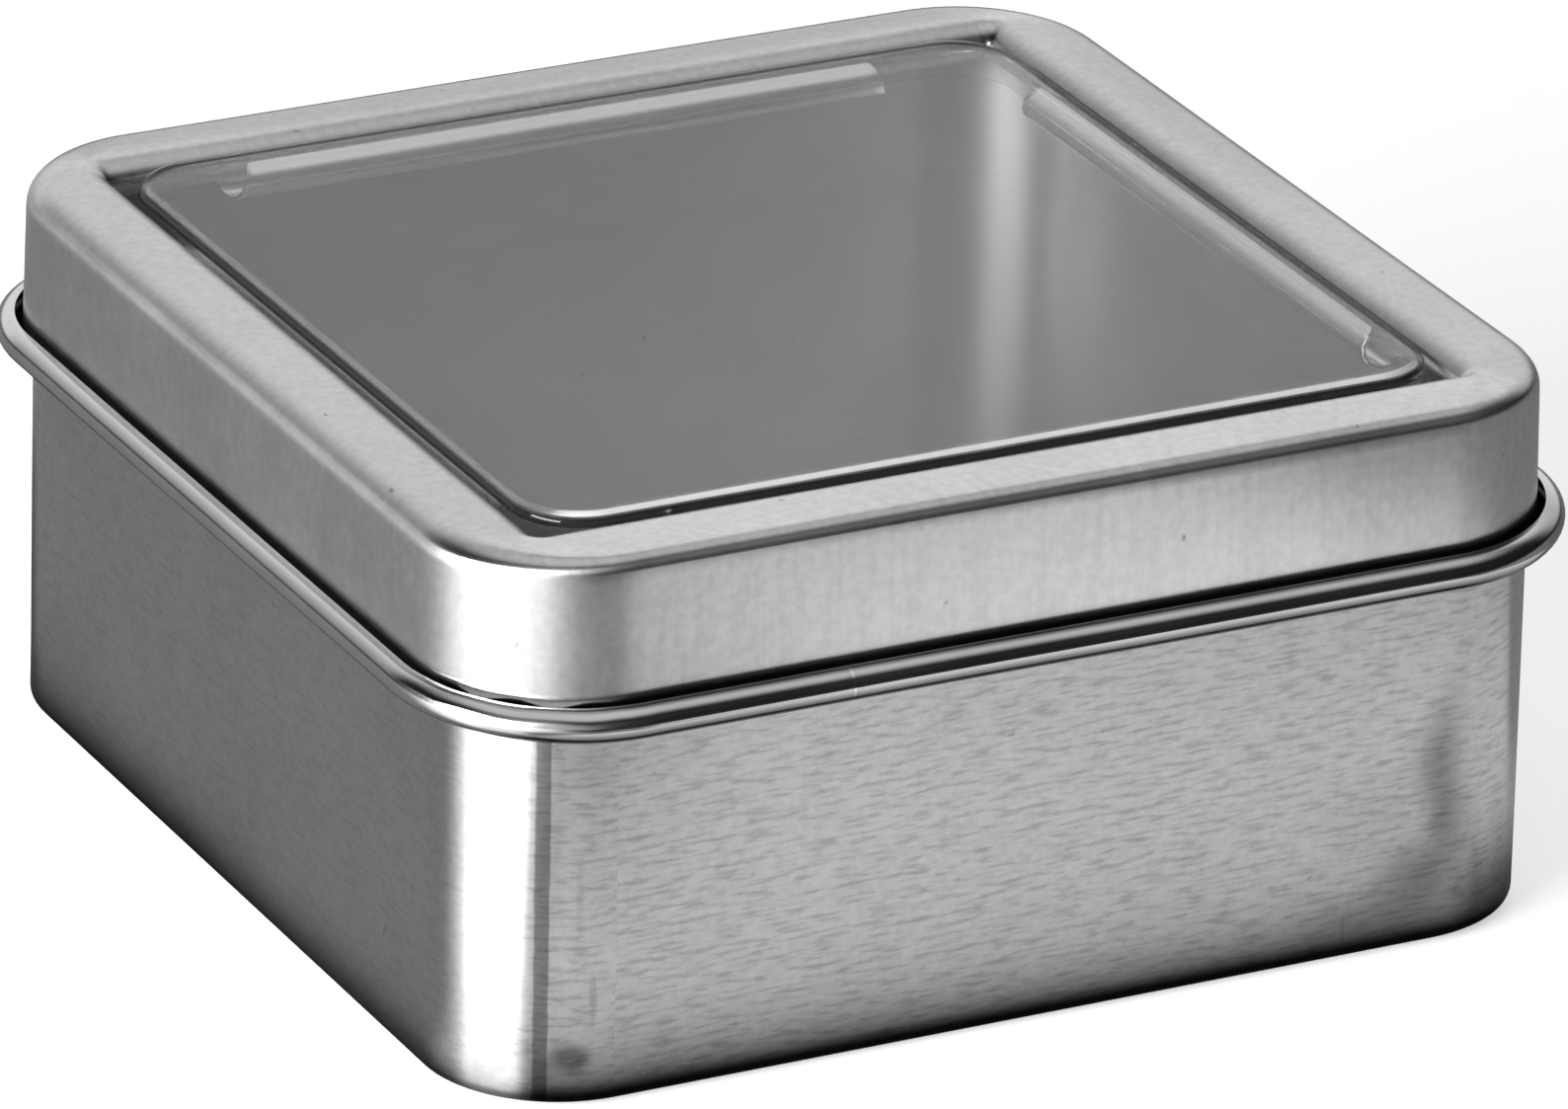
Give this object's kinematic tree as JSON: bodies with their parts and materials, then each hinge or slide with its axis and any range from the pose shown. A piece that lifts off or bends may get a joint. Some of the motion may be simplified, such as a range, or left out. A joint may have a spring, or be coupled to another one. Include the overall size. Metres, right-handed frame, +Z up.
{
  "type": "window lid tin",
  "caption": "Square tinplate box with rounded corners and a slip-on lid whose folded opening grips a clear window tray; keeps and shows small goods.",
  "frame": {"origin": "under the middle of the base, on the table", "axes": "+Z up through the lid, -Y towards the front face, +X to the right"},
  "size_m": [0.0794, 0.0794, 0.0362],
  "materials": {
    "tinplate": "satin tinplate",
    "clear_plastic": "clear, glossy"
  },
  "bodies": {
    "tin": {"tin_body": "tinplate"},
    "lid": {"lid_shell": "tinplate", "window": "clear_plastic"}
  },
  "joints": [
    {"name": "lid_lift", "type": "slide", "parent": "tin", "child": "lid", "axis": [0, 0, 1], "range_m": [0, 0.03]}
  ]
}
